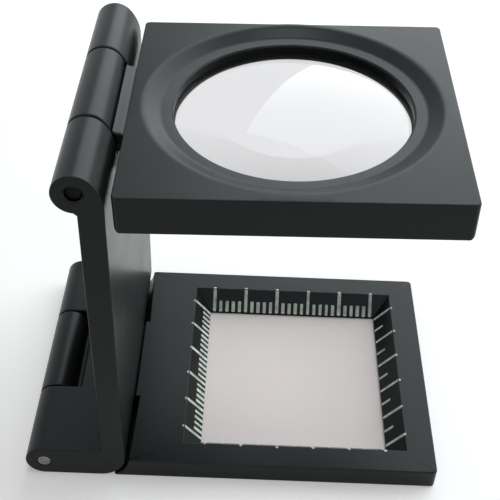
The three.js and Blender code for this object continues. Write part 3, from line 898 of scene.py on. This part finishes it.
def upper_leaf_mesh():
    """The lens plate's middle knuckle and its tongue, carried along Y.

    The tongue steps up from the plate's top, and a bead runs along the knuckle. Below it a boss of the
    plate's full thickness stands out towards the riser.
    """
    s = sizes()
    half = s.knuckle_length / 2
    plate_top = -s.lens_plate_drop
    top = plate_top + s.tongue_rise
    bead = top + s.tongue_bead
    low = top - s.tongue_thickness
    bottom = plate_top - s.lens_plate_thickness
    start, end = s.lens_plate_start, s.lens_plate_start + s.tongue_root
    boss = start - s.boss_reach
    round_centre = (boss + s.lens_edge_round, bottom + s.lens_edge_round)
    outline = np.concatenate([
        [[boss, low]],
        arc(round_centre, s.lens_edge_round, math.pi, math.pi * 3 / 2, FILLET_STEPS),
        [[end, bottom], [end, (low + plate_top) / 2], [start, plate_top], [start - s.tongue_step, top]],
        [[BARREL_RADIUS + s.tongue_bead_run, top], [BARREL_RADIUS + s.tongue_bead_peak, bead]],
        arc((0, 0), BARREL_RADIUS, math.asin(top / BARREL_RADIUS), math.pi * 3 / 2, BARREL_STEPS),
        [[0, low]],
    ])
    mesh = carried("lens_plate_knuckle", without_repeats(outline), half, s.knuckle_round)
    mesh.transform(Matrix.Translation((UPPER_X, 0, UPPER_Z)) @ Matrix.Rotation(-s.rest_angle, 4, "Y"))
    return with_hole(mesh, pin_hole(UPPER_X, UPPER_Z, s.running_gap))


def bulge(face_radius, distance, rim):
    """How far a spherical face stands out from its rim.

    It is the root of its radius squared less the distance squared, less the same root at the rim.
    """
    return np.sqrt(face_radius ** 2 - distance ** 2) - math.sqrt(face_radius ** 2 - rim ** 2)


def lens_heights():
    """Height of the lens's two edges under the upper pin, with its upper face on the seat's rim."""
    s = sizes()
    bearing = bulge(s.lens_upper_radius, LENS_RADIUS - s.seat_width, LENS_RADIUS)
    upper = -s.lens_plate_drop - s.seat_depth - s.lens_seat_gap - bearing
    return upper, upper - s.lens_edge


def lens_mesh():
    """The lens: two spherical faces and a bevelled edge. Each face's height is its rim's plus its bulge."""
    s = sizes()
    upper, lower = lens_heights()
    reach = LENS_RADIUS - s.lens_bevel
    radius = reach * np.sin(np.linspace(0, math.pi / 2, FACE_STEPS))[1:]
    face_top = np.stack([radius, upper + bulge(s.lens_upper_radius, radius, LENS_RADIUS)], axis=1)
    face_low = np.stack([radius, lower - bulge(s.lens_lower_radius, radius, LENS_RADIUS)], axis=1)
    wall = np.array([[LENS_RADIUS, lower + s.lens_bevel], [LENS_RADIUS, upper - s.lens_bevel]])
    profile = np.concatenate([face_low, wall, face_top[::-1]])
    centre_x = s.lens_plate_start + s.lens_plate_length / 2
    rows = np.stack(turned(profile, (centre_x, LENS_SETBACK), LENS_STEPS), axis=2)
    return surface("lens", on_lens_plate(rows), cap_ends=True)


def ring_mesh():
    """The retaining ring: a flat ring whose underside rises at two key slots.

    Columns stand close together at a slot's walls. A column whose place across the slot is within half the
    slot's width has its underside raised by the slot's depth.
    """
    s = sizes()
    _, lower = lens_heights()
    inner = LENS_RADIUS - s.ring_land
    outer = LENS_RADIUS + s.lens_side_gap / 2
    top = lower - bulge(s.lens_lower_radius, inner, LENS_RADIUS) - s.lens_seat_gap
    low = top - s.ring_thickness
    half_slot = math.asin(s.ring_slot_width / 2 / outer)
    past_wall = half_slot * (1 + SLOT_WALL_SHARE)
    around = np.linspace(past_wall, math.pi - past_wall, RING_STEPS)
    within = np.linspace(-half_slot, half_slot, SLOT_POINTS)
    bearing = np.concatenate([within, around, within + math.pi, around + math.pi])
    raised = np.concatenate([within * 0 + 1, around * 0, within * 0 + 1, around * 0]) * s.ring_slot_depth
    edge = s.lens_seat_gap / 2
    radius = np.array([inner, inner + edge, outer - edge, outer, outer, outer - edge, inner + edge, inner])
    height = np.array([low + edge, low, low, low + edge, top - edge, top, top, top - edge])
    underside = np.array([1, 1, 1, 1, 0, 0, 0, 0])
    centre_x = s.lens_plate_start + s.lens_plate_length / 2
    x = centre_x + radius[:, None] * np.cos(bearing)
    y = LENS_SETBACK + radius[:, None] * np.sin(bearing)
    z = height[:, None] + underside[:, None] * raised
    return surface("lens_retaining_ring", on_lens_plate(np.stack([x, y, z], axis=2)), close_rows=True)


# Materials.

# Noises: waves to a metre, steps of detail and roughness.
PATCHES = (90.0, 3.0, 0.55)
GRAIN = (2600.0, 2.0, 0.6)
PEEL = (1500.0, 2.0, 0.45)
DUST = (1900.0, 1.0, 0.5)
# Patches of the pale edges: partly rubbing, partly a painted highlight.
LIT_WEAR_PATCHES = (420.0, 4.0, 0.65)
PAINT_PATCHES = (900.0, 3.0, 0.6)
PAINT_SHEEN = (3000.0, 3.0, 0.5)
PAINT_CHALK = (4200.0, 3.0, 0.5)
STAINS = (1300.0, 4.0, 0.6)
SCRATCHES = (5200.0, 3.0, 0.7)
WIPING = (160.0, 5.0, 0.6)
RING_MARKS = (3600.0, 2.0, 0.5)
RING_PATCHES = (300.0, 3.0, 0.6)
CLOUDS = (260.0, 2.0, 0.5)
FIBRES = (2200.0, 3.0, 0.6)

# Spans of a noise that run from none to all of what it brings.
SOFT = (0.3, 0.7)
FIRM = (0.35, 0.65)
IN_SPECKS = (0.76, 0.84)
WHERE_LIT_WORN = (0.42, 0.62)
WHERE_FILLED = (0.32, 0.62)
# Where the pale edges show: partly rubbing, partly a painted highlight.
WHERE_STAINED = (0.4, 0.68)
WHERE_WIPED = (0.35, 0.75)

# Bumps: strength and height in metres.
GRAIN_BUMP = (0.10, 0.00002)
PEEL_BUMP = (0.16, 0.00004)
CHALK_BUMP = (0.3, 0.00002)
SCRATCH_BUMP = (0.35, 0.00002)
RING_BUMP = (0.3, 0.00002)

# How far a roughness goes below and above its middle.
ENAMEL_SPREAD = (0.035, 0.045)
STEEL_SPREAD = (0.08, 0.14)
MATT_SPREAD = (0.09, 0.09)

# How dark or light a colour's patches are, against the colour.
ENAMEL_DARK = 0.86
ENAMEL_LIGHT = 1.18
PAINT_THIN = 0.58
PAINT_FULL = 1.05
# A line's foot is drawn this much lighter: a painted highlight.
PAINT_HIGHLIGHT = 1.22
STAIN_DARK = 0.45
RING_DARK = 0.8
RING_LIGHT = 1.5
FIBRE_DARK = 0.94

# How much dust, pale edge and fibre there is at most or at least; the pale edges are partly rubbing and
# partly a painted highlight.
MOST_DUST = 0.25
LEAST_LIT_WEAR = 0.15
MOST_FIBRE = 0.35

# How long scratches are drawn out along a pin: their waves along it, against those across.
DRAWN_OUT = 0.15

# How far the enamel's noise is moved, so that the plates differ.
RISER_SHIFT = 0.3
LENS_PLATE_SHIFT = 0.7


class Nodes:
    """The node tree of a material or a world, with short calls for its nodes and links."""

    def __init__(self, owner, output_kind="ShaderNodeOutputMaterial"):
        self.owner = owner
        owner.use_nodes = True
        self.tree = owner.node_tree
        self.tree.nodes.clear()
        self.output = self.tree.nodes.new(output_kind)

    def add(self, kind, inputs=None, **settings):
        node = self.tree.nodes.new(kind)
        for key, value in settings.items():
            setattr(node, key, value)
        for key, value in (inputs or {}).items():
            if isinstance(value, bpy.types.NodeSocket):
                self.tree.links.new(value, node.inputs[key])
            else:
                node.inputs[key].default_value = value
        return node

    def place(self):
        return self.add("ShaderNodeTexCoord").outputs["Object"]

    def noise(self, pattern, place=None):
        scale, detail, rough = pattern
        inputs = {"Vector": place or self.place(), "Scale": scale, "Detail": detail, "Roughness": rough}
        return self.add("ShaderNodeTexNoise", inputs).outputs["Fac"]

    def between(self, value, span, low=0.0, high=1.0):
        """Low below the span, high above it, and evenly between them inside it."""
        inputs = {0: value, 1: span[0], 2: span[1], 3: low, 4: high}
        return self.add("ShaderNodeMapRange", inputs, clamp=True).outputs["Result"]

    def roughness(self, value, span, middle, spread):
        """A roughness that runs from below its middle to above it as the value goes through the span."""
        return self.between(value, span, middle - spread[0], middle + spread[1])

    def maths(self, operation, a, b):
        return self.add("ShaderNodeMath", {0: a, 1: b}, operation=operation).outputs["Value"]

    def mixed(self, factor, a, b):
        return self.add("ShaderNodeMix", {"Factor": factor, 6: a, 7: b}, data_type="RGBA").outputs[2]

    def bump(self, height, pattern, over=None):
        strength, distance = pattern
        inputs = {"Height": height, "Strength": strength, "Distance": distance}
        if over:
            inputs["Normal"] = over
        return self.add("ShaderNodeBump", inputs).outputs["Normal"]

    def seen(self):
        """1 for rays that show the stage: from the camera, off gloss and through glass."""
        path = self.add("ShaderNodeLightPath").outputs
        through = self.maths("MAXIMUM", path["Is Camera Ray"], path["Is Transmission Ray"])
        return self.maths("MAXIMUM", through, path["Is Glossy Ray"])

    def show(self, shader):
        self.tree.links.new(shader, self.output.inputs["Surface"])
        return self.owner

    def show_principled(self, inputs):
        return self.show(self.add("ShaderNodeBsdfPrincipled", inputs).outputs["BSDF"])


def material_nodes(name):
    return Nodes(bpy.data.materials.new(name))


def opaque(rgb, factor=1.0):
    return (rgb[0] * factor, rgb[1] * factor, rgb[2] * factor, 1.0)


def enamel_material(name, lit_wear, seed_shift=0.0):
    """Satin black enamel: orange-peel skin, patchy sheen, fine dust, and edges drawn pale in places, partly
    as rubbed wear and partly as a painted edge highlight.
    """
    f = finish()
    n = material_nodes(name)
    shift = (seed_shift, seed_shift, 0)
    place = n.add("ShaderNodeMapping", {"Vector": n.place(), "Location": shift}).outputs[0]
    broad = n.noise(PATCHES, place)
    grain = n.noise(GRAIN, place)
    peel = n.noise(PEEL, place)
    base = n.mixed(n.between(broad, SOFT), opaque(f.enamel, ENAMEL_DARK), opaque(f.enamel, ENAMEL_LIGHT))
    specks = n.between(n.noise(DUST, place), IN_SPECKS, 0.0, MOST_DUST)
    dusty = n.mixed(specks, base, opaque(f.enamel_worn))
    # Edges drawn pale in broken patches: partly rubbed wear, partly a painted edge highlight.
    edge = n.add("ShaderNodeAttribute", attribute_name="worn_edge").outputs["Fac"]
    patchy_lit_wear = n.between(n.noise(LIT_WEAR_PATCHES, place), WHERE_LIT_WORN, LEAST_LIT_WEAR * lit_wear, lit_wear)
    mean = n.maths("MULTIPLY", n.maths("ADD", broad, grain), 0.5)
    return n.show_principled({
        "Base Color": n.mixed(n.maths("MULTIPLY", edge, patchy_lit_wear), dusty, opaque(f.enamel_worn)),
        "Roughness": n.roughness(mean, FIRM, f.enamel_roughness, ENAMEL_SPREAD),
        "Normal": n.bump(grain, GRAIN_BUMP, over=n.bump(peel, PEEL_BUMP)),
        "Specular IOR Level": f.enamel_shine, "Specular Tint": opaque(f.enamel_tint)})


def paint_material():
    """White filling of the engraved lines: thin in places, so it greys unevenly, with a chalky surface, and
    drawn lighter at each line's foot as a painted highlight.
    """
    f = finish()
    n = material_nodes("scale_paint")
    patch = n.between(n.noise(PAINT_PATCHES), WHERE_FILLED)
    thin = n.mixed(patch, opaque(f.paint, PAINT_THIN), opaque(f.paint, PAINT_FULL))
    # Lighter paint at each line's foot: a painted highlight.
    lighter = n.add("ShaderNodeAttribute", attribute_name="thick_paint").outputs["Fac"]
    return n.show_principled({
        "Base Color": n.mixed(lighter, thin, opaque(f.paint, PAINT_HIGHLIGHT)),
        "Roughness": n.roughness(n.noise(PAINT_SHEEN), SOFT, f.paint_roughness, MATT_SPREAD),
        "Normal": n.bump(n.noise(PAINT_CHALK), CHALK_BUMP)})


def steel_material(name, shade):
    """Dull drawn wire: grey steel, dark stains and turned scratches on the ends."""
    f = finish()
    n = material_nodes(name)
    place = n.add("ShaderNodeMapping", {"Vector": n.place(), "Scale": (1.0, DRAWN_OUT, 1.0)}).outputs[0]
    stain = n.between(n.noise(STAINS), WHERE_STAINED)
    scratch = n.noise(SCRATCHES, place)
    return n.show_principled({
        "Base Color": n.mixed(stain, opaque(f.steel, shade), opaque(f.steel, STAIN_DARK * shade)),
        "Roughness": n.roughness(scratch, SOFT, f.steel_roughness, STEEL_SPREAD), "Metallic": 1.0,
        "Normal": n.bump(scratch, SCRATCH_BUMP)})


def glass_material():
    """Clear optical glass that lets lamps through, with wiping marks on its gloss."""
    f = finish()
    n = material_nodes("lens_glass")
    wiped = n.between(n.noise(WIPING), WHERE_WIPED, 0.0, f.glass_wiping)
    shader = n.add("ShaderNodeBsdfPrincipled", {
        "Base Color": opaque(f.glass_tint), "Roughness": wiped, "IOR": f.glass_index,
        "Transmission Weight": 1.0, "Specular Tint": opaque((1.0, 1.0, 1.0), f.glass_shine)})
    clear = n.add("ShaderNodeBsdfTransparent", {"Color": opaque(f.glass_tint)})
    lamp_ray = n.add("ShaderNodeLightPath").outputs["Is Shadow Ray"]
    mix = n.add("ShaderNodeMixShader", {
        0: lamp_ray, 1: shader.outputs["BSDF"], 2: clear.outputs["BSDF"]})
    return n.show(mix.outputs["Shader"])


def ring_material():
    """Matt black anodised ring with fine marks and faint patches."""
    f = finish()
    n = material_nodes("ring_black")
    marks = n.noise(RING_MARKS)
    patch = n.between(n.noise(RING_PATCHES), FIRM)
    return n.show_principled({
        "Base Color": n.mixed(patch, opaque(f.ring, RING_DARK), opaque(f.ring, RING_LIGHT)),
        "Roughness": n.roughness(marks, SOFT, f.ring_roughness, MATT_SPREAD),
        "Normal": n.bump(marks, RING_BUMP), "Specular IOR Level": f.ring_shine})


# Operators.


class MAGNIFIER_OT_base_plate(bpy.types.Operator):
    """Builds the base plate with its bevelled window."""

    bl_idname = "magnifier.base_plate"
    bl_label = "Base plate"

    def execute(self, context):
        material = enamel_material("base_enamel", finish().base_lit_wear)
        shown("base_plate", base_plate_mesh(), "base", material, ["base_frame"])
        shown("base_knuckle", lower_leaf_mesh(), "base", material, [])
        return {"FINISHED"}


class MAGNIFIER_OT_scale(bpy.types.Operator):
    """Builds the painted lines of the scale on the window's bevels."""

    bl_idname = "magnifier.scale"
    bl_label = "Scale lines"

    def execute(self, context):
        shown("scale_lines", scale_mesh(), "base", paint_material(), [])
        return {"FINISHED"}


class MAGNIFIER_OT_riser(bpy.types.Operator):
    """Builds the riser with its foot and outer knuckles."""

    bl_idname = "magnifier.riser"
    bl_label = "Riser"

    def execute(self, context):
        material = enamel_material("riser_enamel", finish().riser_lit_wear, RISER_SHIFT)
        shown("riser_plate", riser_mesh(), "riser", material, ["riser"])
        return {"FINISHED"}


class MAGNIFIER_OT_pins(bpy.types.Operator):
    """Builds both hinge pins."""

    bl_idname = "magnifier.pins"
    bl_label = "Hinge pins"

    def execute(self, context):
        lower = pin_mesh("lower_pin", LOWER_X, LOWER_Z, HALF_DEPTH)
        upper = pin_mesh("upper_pin", UPPER_X, UPPER_Z, UPPER_PIN_END)
        drawn = steel_material("pin_steel", 1.0)
        # The upper pin is drawn nearly black: painted shade in the recess round its end.
        recess_shaded = steel_material("blackened_steel", finish().blackening)
        shown("lower_pin", lower, "riser", drawn, ["lower_hinge_pin"])
        shown("upper_pin", upper, "riser", recess_shaded, ["upper_hinge_pin"])
        return {"FINISHED"}


class MAGNIFIER_OT_lens_plate(bpy.types.Operator):
    """Builds the lens plate with its dish, bore and middle knuckle."""

    bl_idname = "magnifier.lens_plate"
    bl_label = "Lens plate"

    def execute(self, context):
        material = enamel_material("lens_plate_enamel", finish().lens_plate_lit_wear, LENS_PLATE_SHIFT)
        shown("lens_plate", lens_plate_mesh(), "lens_plate", material, ["lens_frame"])
        shown("lens_plate_knuckle", upper_leaf_mesh(), "lens_plate", material, [])
        return {"FINISHED"}


class MAGNIFIER_OT_lens(bpy.types.Operator):
    """Builds the lens and the ring that holds it."""

    bl_idname = "magnifier.lens"
    bl_label = "Lens and ring"

    def execute(self, context):
        glass = glass_material()
        shown("lens_disc", lens_mesh(), "lens_plate", glass, ["lens"], LENS_SHARP_ANGLE)
        ring_finish = ring_material()
        shown("lens_ring", ring_mesh(), "lens_plate", ring_finish, ["lens_retaining_ring"])
        return {"FINISHED"}


class MAGNIFIER_OT_stage(bpy.types.Operator):
    """Sets the floor, the soft lamps, the even light and the camera."""

    bl_idname = "magnifier.stage"
    bl_label = "Stage"

    def execute(self, context):
        floor()
        even_light()
        s = studio()
        lamp("key_lamp", s.key_place, s.key_aim, (s.key_width, s.key_height), s.key_power, s.key_tint)
        lamp("top_lamp", s.top_place, s.top_aim, (s.top_width, s.top_width), s.top_power, s.top_tint)
        camera()
        return {"FINISHED"}


def floor():
    """A wide plain floor just under the object, and a page on it that shows in the base's window."""
    s = studio()
    n = material_nodes("floor")
    matt = n.add("ShaderNodeBsdfDiffuse", {"Color": opaque(s.floor)})
    glow = n.add("ShaderNodeEmission", {"Strength": n.maths("MULTIPLY", n.seen(), s.floor_glow)})
    lifted = n.add("ShaderNodeAddShader", {0: matt.outputs["BSDF"], 1: glow.outputs["Emission"]})
    wide = s.floor_half_width
    flat_stage("floor", (-wide, -wide), (wide, wide), -s.floor_drop, n.show(lifted.outputs["Shader"]))
    n = material_nodes("page")
    cloud = n.between(n.noise(CLOUDS), FIRM)
    fibre = n.between(n.noise(FIBRES), SOFT, 0.0, MOST_FIBRE)
    blush = n.mixed(cloud, opaque(s.sheet), opaque(s.sheet_blush))
    tint = n.mixed(fibre, blush, opaque(s.sheet, FIBRE_DARK))
    page = n.add("ShaderNodeBsdfDiffuse", {"Color": tint})
    window_x, _, mouth = window_places()
    half_y = HALF_DEPTH - sizes().corner_radius
    low = (RISER_HIGH.x - sizes().heel_radius, -half_y)
    flat_stage("page", low, (window_x + mouth, half_y), -s.page_drop, n.show(page.outputs["BSDF"]))


def flat_stage(name, low, high, z, material):
    """A flat rectangle that belongs to the stage."""
    mesh = bpy.data.meshes.new(name)
    corners = [(low[0], low[1], z), (high[0], low[1], z), (high[0], high[1], z), (low[0], high[1], z)]
    mesh.from_pydata(corners, [], [(0, 1, 2, 3)])
    mesh.materials.append(material)
    plane = bpy.data.objects.new(name, mesh)
    bpy.context.scene.collection.objects.link(plane)


def even_light():
    """White all round for the camera, gloss and glass, and a plain even light for the rest."""
    world = bpy.data.worlds.new("even_light")
    bpy.context.scene.world = world
    n = Nodes(world, "ShaderNodeOutputWorld")
    strength = n.between(n.seen(), (0.0, 1.0), studio().sky, 1.0)
    background = n.add("ShaderNodeBackground", {
        "Color": opaque(studio().sky_tint), "Strength": strength})
    n.show(background.outputs["Background"])


def lamp(name, place, aim, size, power, tint):
    """A rectangular soft lamp that shines at a point and doesn't show in the lens."""
    light = bpy.data.lights.new(name, "AREA")
    light.shape = "RECTANGLE"
    light.size, light.size_y = size
    light.energy = power
    light.color = tint
    holder = bpy.data.objects.new(name, light)
    holder.visible_transmission = False
    bpy.context.scene.collection.objects.link(holder)
    turned_to = (Vector(aim) - Vector(place)).to_track_quat("-Z", "Y").to_matrix().to_4x4()
    holder.matrix_world = Matrix.Translation(place) @ turned_to


def camera():
    """The camera of the photograph: looking down by the pitch, turned by the yaw and tilted by the roll."""
    s = studio()
    pitch, yaw, roll = s.camera_pitch, s.camera_yaw, s.camera_roll
    ahead = Vector((math.sin(yaw) * math.cos(pitch), math.cos(yaw) * math.cos(pitch), -math.sin(pitch)))
    level = Vector((math.cos(yaw), -math.sin(yaw), 0.0))
    upward = level.cross(ahead)
    right = level * math.cos(roll) + upward * math.sin(roll)
    up = upward * math.cos(roll) - level * math.sin(roll)
    data = bpy.data.cameras.new("camera")
    data.sensor_width = SENSOR_WIDTH
    data.lens = s.focal_pixels / IMAGE_SIZE * SENSOR_WIDTH
    data.clip_start = NEAREST_SEEN
    holder = bpy.data.objects.new("camera", data)
    bpy.context.scene.collection.objects.link(holder)
    turned_to = Matrix((right, up, -ahead)).transposed().to_4x4()
    holder.matrix_world = Matrix.Translation(s.camera_place) @ turned_to
    bpy.context.scene.camera = holder


class MAGNIFIER_PT_panel(bpy.types.Panel):
    """Lists the pieces, sizes and finishes of the magnifier."""

    bl_idname = "MAGNIFIER_PT_panel"
    bl_label = "Magnifier"
    bl_space_type = "VIEW_3D"
    bl_region_type = "UI"
    bl_category = "Magnifier"

    def draw(self, context):
        for operator in OPERATORS:
            self.layout.operator(operator.bl_idname)
        for scene_name in (SIZES_SCENE_NAME, FINISH_SCENE_NAME, STUDIO_SCENE_NAME):
            settings = getattr(context.scene, scene_name)
            box = self.layout.box()
            for key in settings.bl_rna.properties.keys():
                if key not in {"rna_type", "name"}:
                    box.prop(settings, key)


OPERATORS = (
    MAGNIFIER_OT_stage,
    MAGNIFIER_OT_base_plate,
    MAGNIFIER_OT_scale,
    MAGNIFIER_OT_riser,
    MAGNIFIER_OT_pins,
    MAGNIFIER_OT_lens_plate,
    MAGNIFIER_OT_lens,
)
GROUPS = {
    SIZES_SCENE_NAME: MAGNIFIER_PG_sizes,
    FINISH_SCENE_NAME: MAGNIFIER_PG_finish,
    STUDIO_SCENE_NAME: MAGNIFIER_PG_studio,
}


def register():
    for group in (*GROUPS.values(), *OPERATORS, MAGNIFIER_PT_panel):
        bpy.utils.register_class(group)
    for scene_name, group in GROUPS.items():
        setattr(bpy.types.Scene, scene_name, bpy.props.PointerProperty(type=group))


def unregister():
    for scene_name in GROUPS:
        delattr(bpy.types.Scene, scene_name)
    for group in (MAGNIFIER_PT_panel, *reversed(OPERATORS), *reversed(GROUPS.values())):
        bpy.utils.unregister_class(group)


def main():
    register()
    bpy.context.scene.view_settings.view_transform = "Standard"
    for operator in OPERATORS:
        category, name = operator.bl_idname.split(".")
        getattr(getattr(bpy.ops, category), name)()
    bpy.context.view_layer.update()


if __name__ == "__main__":
    main()
